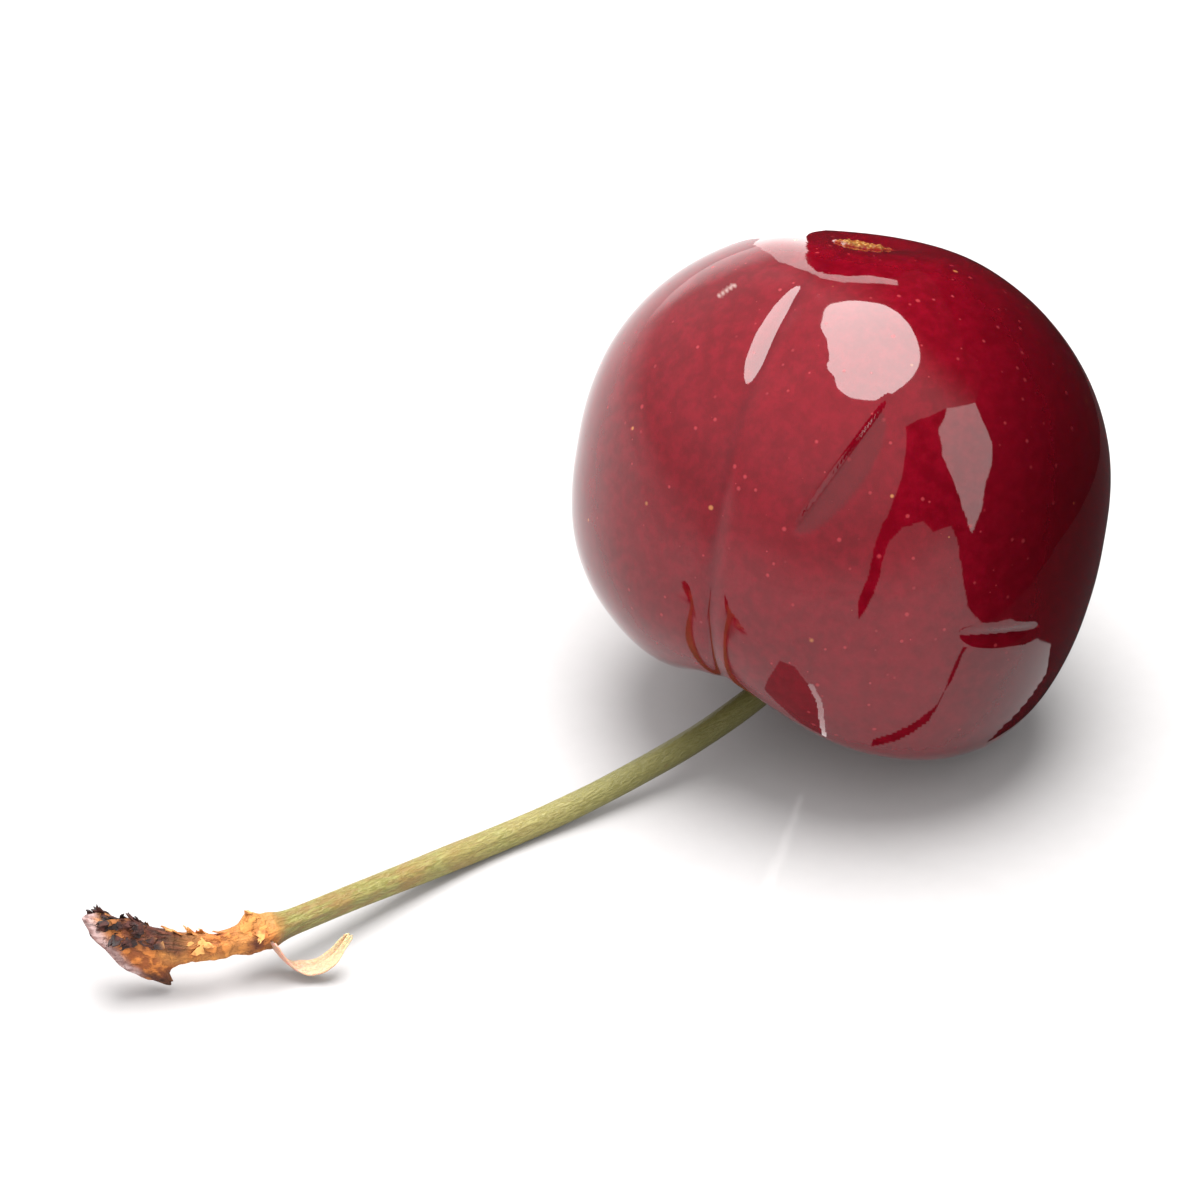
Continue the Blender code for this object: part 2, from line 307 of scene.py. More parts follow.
def bump(distance, reach):
    return np.exp(-((distance / reach) ** 2))


def ease(value):
    value = np.clip(value, 0.0, 1.0)
    return value * value * (3.0 - 2.0 * value)


def unit(rows):
    return rows / np.linalg.norm(rows, axis=1)[:, None]


def noise_at(points, size, seed=0.0):
    """Smooth noise from -1 to 1 at each point, with features of that size."""
    shift = Vector((seed * 3.1, seed * 7.7, seed * 5.3))
    return np.array([noise.noise(Vector(point) / size + shift) for point in points])


# ---- modelling

def enter(mode):
    bpy.ops.object.mode_set(mode=mode)


def deselect_all():
    if bpy.context.mode != "OBJECT":
        enter("OBJECT")
    bpy.ops.object.select_all(action="DESELECT")


def link(made):
    bpy.context.scene.collection.objects.link(made)


def make_active(piece):
    deselect_all()
    piece.select_set(True)
    bpy.context.view_layer.objects.active = piece


def thicken(piece, thickness):
    """Give a sheet its thickness, half on each side."""
    shell = piece.modifiers.new("thickness", "SOLIDIFY")
    shell.thickness = thickness
    shell.offset = 0.0
    bpy.ops.object.modifier_apply(modifier=shell.name)


def read_points(mesh):
    flat = np.empty(len(mesh.vertices) * 3)
    mesh.vertices.foreach_get("co", flat)
    return flat.reshape(-1, 3)


def write_points(mesh, points):
    mesh.vertices.foreach_set("co", np.asarray(points, dtype=float).ravel())
    mesh.update()


def store(mesh, name, values):
    """Keep a value or a vector per vertex for the material to read."""
    values = np.asarray(values, dtype=np.float32)
    kind = "FLOAT" if values.ndim == 1 else "FLOAT_VECTOR"
    attribute = mesh.attributes.new(name, kind, "POINT")
    attribute.data.foreach_set("value" if values.ndim == 1 else "vector", values.ravel())


# ---- fruit

def seam_groove(x, y, valley=VALLEY_DEPTH):
    """Depth of the shallow valley and the fine seam line on the +X side."""
    front = 1.0 / (1.0 + np.exp(-(x - SEAM_START) / SEAM_BLEND))
    return front * (valley * bump(y, VALLEY_WIDTH) + SEAM_DEPTH * bump(y, SEAM_WIDTH))


def fruit_surface(directions):
    """Smooth surface points of the fruit, in its own frame, for unit directions."""
    polar = np.arccos(np.clip(directions[:, 2], -1.0, 1.0))
    around = np.arctan2(directions[:, 1], directions[:, 0])
    polar = polar * (1.0 - CAVITY_CROWDING * bump(polar, CAVITY_CROWDING_SPREAD))
    sine = np.sin(polar)
    cosine = np.cos(polar)
    power = FULLNESS + SHOULDER_FULLNESS * cosine
    radius = (np.abs(sine) ** power + np.abs(cosine) ** power) ** (-1.0 / power)
    x = radius * sine * np.cos(around) * FRUIT_THICKNESS / 2
    y = radius * sine * np.sin(around) * FRUIT_WIDTH / 2
    z = radius * cosine * (FRUIT_HEIGHT / 2 - STYLAR_LENGTHENING * cosine)
    from_axis = np.hypot(x, y)
    stalk_end = 1.0 / (1.0 + np.exp(-z / END_BLEND))
    across = y / (FRUIT_WIDTH / 2)

    z = z - SHOULDER_OFFSET * across * bump(polar - SHOULDER_AT, SHOULDER_SPREAD)
    ring = bump(from_axis - NOTCH_RING, NOTCH_LENGTH)
    ring = ring * (1.0 - bump(from_axis, CAVITY_RADIUS / 2))
    z = z - stalk_end * NOTCH_DEPTH * bump(around, NOTCH_ANGLE) * ring
    z = z - stalk_end * BACK_NOTCH_DEPTH * bump(np.abs(around) - np.pi, NOTCH_ANGLE) * ring
    z = z - stalk_end * CAVITY_DEPTH * bump(from_axis, CAVITY_RADIUS)
    pit_x = (x - STYLAR_PIT_PLACE[0]) / STYLAR_PIT_RADIUS
    pit_y = (y - STYLAR_PIT_PLACE[1]) / (STYLAR_PIT_RADIUS * STYLAR_PIT_BREADTH)
    z = z + (1.0 - stalk_end) * STYLAR_PIT_DEPTH * np.exp(-(pit_x ** 2 + pit_y ** 2))
    points = np.stack([x, y, z], axis=1)
    inward = seam_groove(x, y)
    points -= unit(points) * inward[:, None]
    return points * (1.0 - BROADER_SHOULDER * across)[:, None]


def fruit_axes():
    """Columns u, v, w of the fruit's own frame as it lies."""
    heading = Vector((-cos(LEAN_HEADING), -sin(LEAN_HEADING), 0.0))
    up = Vector(UPWARDS)
    w = sin(LEAN) * heading - cos(LEAN) * up
    level = cos(LEAN) * heading + sin(LEAN) * up
    u = cos(SEAM_TURN) * level + sin(SEAM_TURN) * w.cross(level)
    v = w.cross(u)
    return Matrix((u, v, w)).transposed()


def crease_frame(points, start, end):
    """Places along a crease (-1 to 1) and across it, and which points are near."""
    start = np.array(start) * MM
    span = np.array(end) * MM - start
    length = np.linalg.norm(span)
    middle = start + span / 2
    outward = middle / np.linalg.norm(middle)
    direction = span / length
    across = np.cross(direction, outward)
    across /= np.linalg.norm(across)
    along = (points - middle) @ direction / (length / 2)
    beside = (points - middle) @ across
    near = (points @ outward > 0.5 * np.linalg.norm(middle)) & (np.abs(along) < 1.0)
    return along, beside, near


def crease_depth(points, start, end, depth, steep, gentle):
    """A sharp-bottomed crease, steep on one side, narrowing to its ends."""
    along, beside, near = crease_frame(points, start, end)
    taper = np.clip(1.0 - along ** 2, 0.0, 1.0)
    narrowing = CREASE_END_SHARE + (1.0 - CREASE_END_SHARE) * taper ** 0.5
    width = np.where(beside > 0.0, steep, gentle) * MM * narrowing
    profile = np.clip(1.0 - np.abs(beside) / width, 0.0, 1.0) ** CREASE_SHARPNESS
    return np.where(near, depth * MM * taper ** CREASE_FADE * profile, 0.0)


def crease_shade_mask(points, start, end):
    """One where shade is painted into the skin along a crease's gentle side."""
    along, beside, near = crease_frame(points, start, end)
    taper = np.clip(1.0 - (along - CREASE_SHADE_SHIFT) ** 2 * 1.2, 0.0, 1.0) ** 0.5
    covered = ease((beside / MM + CREASE_SHADE_WIDTH * taper) / CREASE_SHADE_EDGE)
    covered = covered * ease((CREASE_SHADE_OVERLAP - beside / MM) / 0.2)
    return np.where(near, covered * ease(taper * 3.0), 0.0)


def hollow_depth(points, start, end, depth, left, right):
    """A smooth hollow, longer than it is wide."""
    along, beside, near = crease_frame(points, start, end)
    taper = np.clip(1.0 - along ** 2, 0.0, 1.0) ** 2
    width = np.where(beside > 0.0, left, right) * MM
    return np.where(near, depth * MM * taper * np.exp(-((beside / width) ** 2)), 0.0)


def distance_to_path(points, path):
    """Distance of each point from a line through the path's points."""
    path = np.array(path) * MM
    nearest = np.full(len(points), np.inf)
    for start, end in zip(path[:-1], path[1:]):
        span = end - start
        share = np.clip((points - start) @ span / (span @ span), 0.0, 1.0)
        gap = np.linalg.norm(points - start - share[:, None] * span, axis=1)
        nearest = np.minimum(nearest, gap)
    return nearest


def crowd(directions):
    """Draw the directions together where the surface has fine marks."""
    for place, reach, strength in CROWDED:
        centre = np.array(place) / np.linalg.norm(place)
        gap = np.linalg.norm(directions - centre, axis=1)
        pull = strength * bump(gap, reach)
        directions = unit(directions + (centre - directions) * pull[:, None])
    return directions


def scar_mask(points):
    """One on the corky stylar scar, with a ragged edge."""
    offset_x = points[:, 0] - SCAR_PLACE[0]
    offset_y = points[:, 1] - SCAR_PLACE[1]
    along = offset_x * SCAR_DIRECTION[0] + offset_y * SCAR_DIRECTION[1]
    beside = offset_x * SCAR_DIRECTION[1] - offset_y * SCAR_DIRECTION[0]
    reach = np.hypot(along / SCAR_HALF_LENGTH, beside / SCAR_HALF_WIDTH)
    mask = np.zeros(len(points))
    close = (points[:, 2] < 0.0) & (reach < 2.5)
    ragged = noise_at(points[close], SCAR_EDGE_GRAIN, 4.0)
    mask[close] = ease((1.25 - reach[close] + 0.5 * ragged) / 0.5)
    return mask


def lower_crown(heights, most):
    """Press the highest part down smoothly, so that nothing is above the limit."""
    over = np.maximum(heights - most + CROWN_HEIGHT, 0.0)
    excess = max(over.max() - CROWN_HEIGHT, 0.0)
    return heights - over ** 2 * excess / over.max() ** 2


def make_fruit():
    """The fruit: a finely divided cube swollen to its shape, then marked."""
    deselect_all()
    bpy.ops.mesh.primitive_cube_add(size=2.0)
    fruit = bpy.context.active_object
    fruit.name = "cherry_fruit"
    enter("EDIT")
    bpy.ops.mesh.select_all(action="SELECT")
    bpy.ops.mesh.subdivide(number_cuts=FRUIT_CUTS)
    enter("OBJECT")
    mesh = fruit.data
    ball = unit(np.tan(read_points(mesh) * pi / 4))
    points = fruit_surface(crowd(ball))
    outward = unit(points)
    x, y, z = points.T

    # Shallow waves and ripples keep the reflections from looking turned.
    waves = noise_at(points, WAVE_LENGTH, 1.0) * WAVE_HEIGHT
    ripples = noise_at(points, RIPPLE_LENGTH, 2.0) * RIPPLE_HEIGHT
    ripples += noise_at(points, DIMPLE_LENGTH, 3.0) * DIMPLE_HEIGHT
    sunk = sum(crease_depth(points, *crease) for crease in CREASES)
    sunk = sunk + sum(hollow_depth(points, *hollow) for hollow in HOLLOWS)

    # Near its end the seam fades: its line is filled, and part of its valley.
    ending = ease((SEAM_END_FROM - z) / SEAM_END_LENGTH)
    sunk = sunk - seam_groove(x, y, VALLEY_DEPTH * VALLEY_END_SHARE) * ending
    rubbed = bump(np.linalg.norm(points - np.array(RUB_PLACE) * MM, axis=1), RUB_REACH)
    rubbed = rubbed * noise_at(points * np.array(RUB_STRETCH), RUB_GRAIN, 7.0) * RUB_HEIGHT
    # The painted glint is a pale streak of colour only; the surface keeps its shape there.
    painted_glint = ease(PAINTED_GLINT_EDGE - distance_to_path(points, PAINTED_GLINT) / PAINTED_GLINT_WIDTH)
    scar = scar_mask(points)
    cork = scar * (0.7 + 0.6 * noise_at(points, CORK_GRAIN, 6.0)) * SCAR_HEIGHT
    rise = waves + ripples - WAVE_HEIGHT - RIPPLE_HEIGHT - sunk + cork + rubbed
    # Painted shade: the skin is darkened deep in the stalk cavity.
    cavity = ease((z - CAVITY_SHADE_FROM) / CAVITY_SHADE_LENGTH)
    cavity = cavity * bump(np.hypot(x, y), CAVITY_SHADE_RADIUS)
    store(mesh, "scar", scar)
    store(mesh, "seam", bump(y, SEAM_TINT_WIDTH) * (x > SEAM_TINT_FROM))
    store(mesh, "hollow", cavity)
    # Painted shade in the first crease.
    store(mesh, "crease_shade", crease_shade_mask(points, *CREASES[0][:2]))
    store(mesh, "painted_glint", painted_glint)

    # Painted shade: the side on the viewer's right is darkened, standing in for the shade that
    # falls there.
    axes = np.array(fruit_axes())
    shade_side = np.array(view_directions()[0]) @ axes
    store(mesh, "right_side_shade", ease((points @ shade_side - RIGHT_SHADE_FROM) / RIGHT_SHADE_LENGTH))
    smooth = points * FRUIT_SHRINK @ axes.T
    low, high = (np.array(corner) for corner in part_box("fruit"))
    middle = (low + high) / 2 - (smooth.min(0) + smooth.max(0)) / 2
    middle[2] = high[2] - smooth[:, 2].max()
    placed = (points * FRUIT_SHRINK + outward * rise[:, None]) @ axes.T + middle
    placed[:, 2] = np.maximum(lower_crown(placed[:, 2], high[2] - CROWN_ROOM), 0.0)
    write_points(mesh, placed)
    bpy.ops.object.shade_smooth()
    return fruit, middle


# ---- stalk

def bezier(a, b, c, d, count):
    t = np.linspace(0.0, 1.0, count)[:, None]
    s = 1.0 - t
    return s ** 3 * a + 3 * s * s * t * b + 3 * s * t * t * c + t ** 3 * d


def stalk_centreline(fruit_middle):
    """Evenly spaced points from the cavity floor to the middle of the heel."""
    w = np.array(fruit_axes().col[2])
    base = fruit_middle + w * (fruit_surface(np.array([[0.0, 0.0, 1.0]]))[0, 2] + STALK_GAP)
    half = STALK_THICKNESS / 2

    def place(fraction, side, height):
        reach = fraction * STALK_REACH
        return np.array([fruit_middle[0] - reach, fruit_middle[1] + side, height])

    touch = place(TOUCH_FRACTION, TOUCH_SIDE, half)
    knee = place(KNEE_FRACTION, KNEE_SIDE, half + KNEE_RISE)
    tip = place(1.0, TIP_SIDE, half + TIP_RISE)
    along = np.array([-1.0, 0.0, 0.0])
    rising = np.array([-1.0, -0.05, 0.05])
    turned = np.array([-cos(TIP_TURN), sin(TIP_TURN), 0.0])
    middle_span = (KNEE_FRACTION - TOUCH_FRACTION) * STALK_REACH / 3
    last_span = (1.0 - KNEE_FRACTION) * STALK_REACH / 3
    route = np.concatenate([
        bezier(base, base + w * LEAVING_LENGTH, touch - along * LANDING_LENGTH, touch, 400),
        bezier(touch, touch + along * middle_span, knee - rising * middle_span, knee, 400)[1:],
        bezier(knee, knee + rising * last_span, tip - turned * last_span, tip, 200)[1:],
    ])
    steps = np.linalg.norm(np.diff(route, axis=0), axis=1)
    travelled = np.concatenate([[0.0], np.cumsum(steps)])
    stations = np.linspace(0.0, travelled[-1], STALK_STATIONS)
    points = np.stack([np.interp(stations, travelled, route[:, k]) for k in range(3)], axis=1)
    return points, stations


def stalk_radius(stations):
    radius = STALK_THICKNESS / 2 + BASE_SWELL * bump(stations, BASE_SWELL_LENGTH)
    radius += COLLAR_SWELL * bump(stations[-1] - stations - COLLAR_FROM_TIP, COLLAR_LENGTH)
    rounding = np.clip(1.0 - stations / BASE_ROUNDING, 0.0, 1.0)
    return radius * (1.0 - (1.0 - BASE_END_SHARE) * rounding ** 2)


def make_stalk(fruit_middle):
    """The stalk: a swept tube, ribbed along, with collar, bark and torn heel."""
    route, stations = stalk_centreline(fruit_middle)
    radii = stalk_radius(stations)
    deselect_all()
    curve = bpy.data.curves.new("cherry_stalk", "CURVE")
    curve.dimensions = "3D"
    curve.twist_mode = "Z_UP"
    curve.bevel_depth = STALK_THICKNESS / 2
    curve.bevel_resolution = STALK_SIDES_STEP
    curve.use_fill_caps = True
    spline = curve.splines.new("POLY")
    spline.points.add(len(route) - 1)
    for knot, point, radius in zip(spline.points, route, radii):
        knot.co = (*point, 1.0)
        knot.radius = radius / curve.bevel_depth
    stalk = bpy.data.objects.new("cherry_stalk", curve)
    link(stalk)
    make_active(stalk)
    bpy.ops.object.convert(target="MESH")
    stalk = bpy.context.active_object
    enter("EDIT")
    bpy.ops.mesh.select_all(action="SELECT")
    bpy.ops.mesh.remove_doubles(threshold=0.005 * MM)
    bpy.ops.mesh.normals_make_consistent(inside=False)
    bpy.ops.mesh.select_all(action="DESELECT")
    enter("OBJECT")

    # The torn end is divided into rings by insetting its cap again and again.
    mesh = stalk.data
    tip = route[-1]
    for polygon in mesh.polygons:
        face_on = len(polygon.vertices) > 4
        polygon.select = face_on and (Vector(polygon.center) - Vector(tip)).length < 1.0 * MM
    enter("EDIT")
    bpy.ops.mesh.select_mode(type="FACE")
    for _ in range(INSET_RINGS):
        bpy.ops.mesh.inset(thickness=radii[-1] / (INSET_RINGS + 1))
    enter("OBJECT")
    shape_stalk(stalk, route, stations)
    bpy.ops.object.shade_smooth()
    return stalk, route, stations, radii


def nearest_stations(points, route):
    """Index of the closest centreline point for every vertex."""
    closest = np.empty(len(points), dtype=int)
    for first in range(0, len(points), 2000):
        block = points[first:first + 2000]
        gaps = np.linalg.norm(block[:, None, :] - route[None, :, :], axis=2)
        closest[first:first + 2000] = gaps.argmin(axis=1)
    return closest


def shape_stalk(stalk, route, stations):
    """Move the tube's vertices into ribs, collar, ragged neck and torn heel."""
    mesh = stalk.data
    points = read_points(mesh)
    closest = nearest_stations(points, route)
    direction = unit(np.gradient(route, axis=0))[closest]
    offset = points - route[closest]
    beyond = (offset * direction).sum(1)
    offset = offset - beyond[:, None] * direction
    distance = np.linalg.norm(offset, axis=1)
    sideways = unit(np.cross(UPWARDS, direction))
    upwards = np.cross(direction, sideways)
    across = (offset * sideways).sum(1)
    height = (offset * upwards).sum(1)
    around = np.arctan2(height, across)
    run = stations[closest]
    left = stations[-1] - run
    outward = offset / np.maximum(distance, 1e-9)[:, None]
    capped = (left < 0.02 * MM) & (distance < 0.98 * distance[left < 0.02 * MM].max())

    # Ribs, deeper towards the dry end, and slight swellings along the length.
    dryness = ease((run - DRY_FROM) / DRY_LENGTH)
    ribs = np.sin(5 * around + run / (6.0 * MM)) + 0.6 * np.sin(9 * around - run / (4.0 * MM))
    rise = (RIB_HEIGHT + DRY_RIB_HEIGHT * dryness) * MM * ribs
    lumps = noise_at(np.stack([run * 0.5, across, height], axis=1), LUMP_LENGTH, 3.0)
    rise += LUMP_HEIGHT * lumps
    fibre = np.stack([np.cos(around), np.sin(around), run / FIBRE_LENGTH], axis=1)

    # Scurfy bark from the collar to the heel.
    bark = ease((COLLAR_FROM_TIP + BARK_BEFORE_COLLAR - left) / BARK_EDGE)
    rough = noise_at(points, ROUGH_GRAIN, 5.0)
    coarse = noise_at(points, COARSE_GRAIN, 8.0)
    streaks = noise_at(fibre * np.array([2.2, 2.2, 0.8]), 1.0, 9.0)
    rise += bark * MM * (0.07 * rough + 0.09 * coarse + 0.06 * streaks)
    collar = bump(left - COLLAR_FROM_TIP, COLLAR_RIDGE_LENGTH)
    rise += collar * MM * (0.10 + 0.12 * coarse)
    spur = bump(left - COLLAR_FROM_TIP + SPUR_AFTER_COLLAR, SPUR_LENGTH)
    rise += SPUR_HEIGHT * spur * bump(around - SPUR_ANGLE, SPUR_BREADTH)
    neck = bump(left - NECK_FROM_TIP, NECK_LENGTH) * (0.5 + 0.5 * np.sin(around))
    rise -= NECK_DEPTH * neck
    rise *= np.where(capped, 0.0, 1.0)
    points = points + outward * rise[:, None]

    # The heel flares and is torn off on the slant, its top edge foremost.
    offset = points - route[-1]
    ahead = route[-1] - route[-3]
    ahead[2] = 0.0
    ahead /= np.linalg.norm(ahead)
    beside = np.cross(UPWARDS, ahead)
    along = offset @ ahead
    near_heel = left < HEEL_LENGTH * HEEL_ROOM
    amount = ease(1.0 + along / HEEL_LENGTH) * near_heel
    hook = np.where(offset[:, 2] < 0.0, amount ** HEEL_HOOK, amount)
    tall = offset[:, 2] * (1.0 + hook * (HEEL_DEPTH / STALK_THICKNESS - 1.0))
    above = offset[:, 2] > 0.0
    hump = bump(left - HEEL_HUMP_AT, HEEL_HUMP_LENGTH) * (0.8 + 0.5 * coarse)
    tall = np.where(above, tall * (1.0 + amount * HEEL_CROWN + hump * HEEL_HUMP), tall)
    broad = offset @ beside * (1.0 + amount * (HEEL_BREADTH / STALK_THICKNESS - 1.0))
    along = along + amount * np.where(above, HEEL_TOP_SLOPE, HEEL_SLOPE) * tall
    shaped = route[-1] + ahead * along[:, None] + beside * broad[:, None]
    shaped[:, 2] += tall
    height_share = np.sin(around)
    band = ease(1.6 - left / TORN_RIM) * ease((height_share + 0.75 + 0.3 * coarse) / 0.4)
    torn = np.where(capped, 1.0, band * 0.95)
    rim = bump(left, TORN_RIM) * np.where(capped, 0.0, 1.0)
    tear = noise_at(fibre * np.array([3.0, 3.0, 1.0]) + points / (0.5 * MM), 1.0, 11.0)
    splinter = noise_at(points, SPLINTER_GRAIN, 12.0)
    reach = np.clip(distance / (0.5 * STALK_THICKNESS), 0.0, 1.0)
    hollowed = 0.14 * tear + 0.08 * splinter - TORN_HOLLOW * (1.0 - reach ** 2)
    hollowed = np.where(capped, hollowed, 0.0)
    ragged = rim * (0.16 * tear + 0.1 * splinter)
    shaped += ahead * ((hollowed + ragged) * MM)[:, None]

    points = np.where(near_heel[:, None], shaped, points)
    low, _ = (np.array(corner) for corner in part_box("stalk"))
    points[:, 2] = np.maximum(points[:, 2], 0.0)
    points[:, 0] = np.maximum(points[:, 0], low[0] + 0.01 * MM)
    write_points(mesh, points)
    store(mesh, "fibre", fibre)
    store(mesh, "bark", bark)
    store(mesh, "torn", torn)
    crust = bump(left - 2.4 * MM, 1.7 * MM) * ease((height_share - 0.15 + 0.5 * coarse) / 0.5)
    under = ease((0.4 * rough - 0.3 - height_share) / 0.4)
    crust += bump(left - 0.4 * MM, 1.3 * MM) * under
    store(mesh, "rim", np.clip(crust, 0.0, 1.0))
    store(mesh, "dry", dryness)
    # Painted shade: darker near the fruit.
    store(mesh, "shade_near_fruit", 1.0 - ease((run - FRUIT_SHADE_TO) / FRUIT_SHADE_FADE))
    ring = bump(left - 6.6 * MM, 0.35 * MM) * ease((0.8 - height_share) / 0.4)
    ring += bump(left - 8.0 * MM, 1.1 * MM) * ease((0.1 - height_share) / 0.6)
    store(mesh, "collar", np.clip(ring * (0.75 + 0.8 * coarse), 0.0, 1.0))


def make_flakes(stalk):
    """Chips of bark that lift off the neck and the heel's upper rim."""
    mesh = stalk.data
    rng = np.random.default_rng(7)
    bark = np.empty(len(mesh.vertices), dtype=np.float32)
    mesh.attributes["bark"].data.foreach_get("value", bark)
    points = read_points(mesh)
    normals = np.array([vertex.normal[:] for vertex in mesh.vertices])
    low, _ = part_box("stalk")
    heel = points[:, 0] < low.x + HEEL_FLAKES_TO
    inside_ends = points[:, 0] > low.x + FLAKE_ROOM
    upper = (bark > 0.9) & (normals[:, 2] > 0.35) & inside_ends
    raised = points[:, 2] > STALK_THICKNESS / 2 + TIP_RISE
    chosen = np.concatenate([
        rng.choice(np.flatnonzero(upper & heel & raised), HEEL_FLAKES, replace=False),
        rng.choice(np.flatnonzero(upper & ~heel & raised), NECK_FLAKES, replace=False),
    ])
    bm = bmesh.new()
    for index in chosen:
        size = (FLAKE_SIZE[0] + FLAKE_SIZE[1] * rng.random()) * MM
        width = size * (0.55 + 0.4 * rng.random())
        lift = 0.10 + 0.35 * rng.random()
        normal = Vector(normals[index])
        heading = Vector((-1.0, 0.6 * rng.standard_normal(), 0.3 * rng.standard_normal()))
        heading = (heading - normal * heading.dot(normal)).normalized()
        side = normal.cross(heading)
        root = Vector(points[index]) - normal * 0.03 * MM
        grid = bmesh.ops.create_grid(bm, x_segments=5, y_segments=3, size=0.5)
        for vertex in grid["verts"]:
            along = vertex.co.x + 0.5
            ragged = 0.22 * sin(5.0 * vertex.co.y + index)
            along = along * (1.0 + ragged)
            beside = vertex.co.y * (1.0 - 0.5 * along ** 2) + 0.08 * sin(9 * along + index)
            vertex.co = (root + heading * along * size + side * beside * width
                         + normal * lift * size * along ** 1.6)
    flakes_mesh = bpy.data.meshes.new("bark_flakes")
    bm.to_mesh(flakes_mesh)
    bm.free()
    flakes = bpy.data.objects.new("bark_flakes", flakes_mesh)
    link(flakes)
    placed = read_points(flakes_mesh)
    store(flakes_mesh, "neck", ease((placed[:, 0] - low.x - 3.0 * MM) / (0.8 * MM)))
    make_active(flakes)
    thicken(flakes, FLAKE_THICKNESS)
    bpy.ops.object.shade_smooth_by_angle(angle=radians(50))
    return flakes


# ---- bract

def make_bract(route, stations, radii):
    """A thin cupped scale on the -Y side of the collar, with a ragged edge."""
    at_collar = int(np.argmin(np.abs(stations[-1] - stations - COLLAR_FROM_TIP)))
    start = Vector(route[at_collar])
    start.y -= radii[at_collar] + BRACT_GAP
    deselect_all()
    bpy.ops.mesh.primitive_grid_add(x_subdivisions=90, y_subdivisions=22, size=1.0)
    bract = bpy.context.active_object
    bract.name = "papery_scale"
    mesh = bract.data
    flat = read_points(mesh)
    along = flat[:, 0] + 0.5
    across = 2 * flat[:, 1]
    edge = noise_at(np.stack([along * 9, np.sign(across), 0 * along], axis=1), 1.0, 2.0)
    swell = np.sin(pi * np.clip(along, 0.0, 1.0) ** BRACT_WIDEST)
    share = BRACT_END_SHARE * (1.0 - 0.3 * along) + (1.0 - BRACT_END_SHARE) * swell
    share = share * (1.0 + 0.22 * edge * np.abs(across))
    falling = np.maximum(0.0, 1.0 - along / BRACT_LOWEST_AT)
    rising = np.maximum(0.0, along - BRACT_LOWEST_AT) / (1.0 - BRACT_LOWEST_AT)
    height = BRACT_LOWEST + (start.z - BRACT_LOWEST) * falling ** 2
    veins = 0.02 * MM * np.cos(across * 3 * pi)
    crumple = noise_at(np.stack([along * 5, across * 1.5, 0 * along], axis=1), 1.0, 5.0)
    ends = 0.12 * noise_at(np.stack([across * 2.2, 0 * along, 0 * along], axis=1), 1.0, 8.0)
    reach = np.clip(along + ends * along ** 3, 0.0, 1.0)
    placed = np.stack([
        start.x + reach * BRACT_RUN,
        start.y - BRACT_SWEEP * ease(1.4 * along) + across * share * BRACT_WIDTH / 2,
        height + BRACT_RISE * rising ** 1.6 + BRACT_CUP * across ** 2 + veins
        + 0.05 * MM * crumple,
    ], axis=1)
    write_points(mesh, placed)
    store(mesh, "fibre", np.stack([across, along * 4.0, 0 * along], axis=1))
    store(mesh, "outer", along)
    thicken(bract, BRACT_THICKNESS)
    bpy.ops.object.shade_smooth()
    return bract


# ---- materials

def add(tree, kind, inputs=None, **settings):
    """A node with its settings and its fixed inputs."""
    node = tree.nodes.new(kind)
    for name, value in settings.items():
        setattr(node, name, value)
    for name, value in (inputs or {}).items():
        node.inputs[name].default_value = value
    return node


def new_group(name, **numbers):
    """An empty node group that makes one mask from a place and some numbers."""
    tree = bpy.data.node_groups.new(name, "ShaderNodeTree")
    tree.interface.new_socket("Vector", in_out="INPUT", socket_type="NodeSocketVector")
    for label, value in numbers.items():
        socket = tree.interface.new_socket(label, in_out="INPUT", socket_type="NodeSocketFloat")
        socket.default_value = value
    tree.interface.new_socket("Mask", in_out="OUTPUT", socket_type="NodeSocketFloat")
    return tree, tree.nodes.new("NodeGroupInput"), tree.nodes.new("NodeGroupOutput")


def wire(tree, *routes):
    """Link sockets, each route a node and its output, then a node and its input."""
    for source, output, target, entry in routes:
        tree.links.new(source.outputs[output], target.inputs[entry])


def build_mottle():
    """Soft patches: noise cut between two levels."""
    tree, given, out = new_group("mottle", Scale=200.0, Detail=3.0, Low=0.3, High=0.7)
    texture = add(tree, "ShaderNodeTexNoise")
    cut = add(tree, "ShaderNodeMapRange", interpolation_type="SMOOTHSTEP")
    wire(tree,
         (given, "Vector", texture, "Vector"), (given, "Scale", texture, "Scale"),
         (given, "Detail", texture, "Detail"), (texture, "Fac", cut, "Value"),
         (given, "Low", cut, "From Min"), (given, "High", cut, "From Max"),
         (cut, "Result", out, "Mask"))
    return tree


def build_speckle():
    """Scattered soft dots: some cells of a pattern keep a dot at their heart."""
    tree, given, out = new_group("speckle", Scale=900.0, Dot=0.2, Kept=0.5)
    cells = add(tree, "ShaderNodeTexVoronoi")
    parts = add(tree, "ShaderNodeSeparateColor")
    size = add(tree, "ShaderNodeMath", operation="MULTIPLY")
    edge = add(tree, "ShaderNodeMapRange", {"To Min": 1.0, "To Max": 0.0},
               interpolation_type="SMOOTHSTEP")
    keep = add(tree, "ShaderNodeMath", operation="LESS_THAN")
    mask = add(tree, "ShaderNodeMath", operation="MULTIPLY")
    heart = add(tree, "ShaderNodeMath", {1: DOT_HEART}, operation="MULTIPLY")
    wire(tree,
         (given, "Vector", cells, "Vector"), (given, "Scale", cells, "Scale"),
         (cells, "Color", parts, "Color"), (given, "Dot", size, 0), (parts, "Green", size, 1),
         (size, 0, heart, 0), (cells, "Distance", edge, "Value"),
         (heart, 0, edge, "From Min"), (size, 0, edge, "From Max"),
         (parts, "Red", keep, 0), (given, "Kept", keep, 1),
         (edge, "Result", mask, 0), (keep, 0, mask, 1), (mask, 0, out, "Mask"))
    return tree


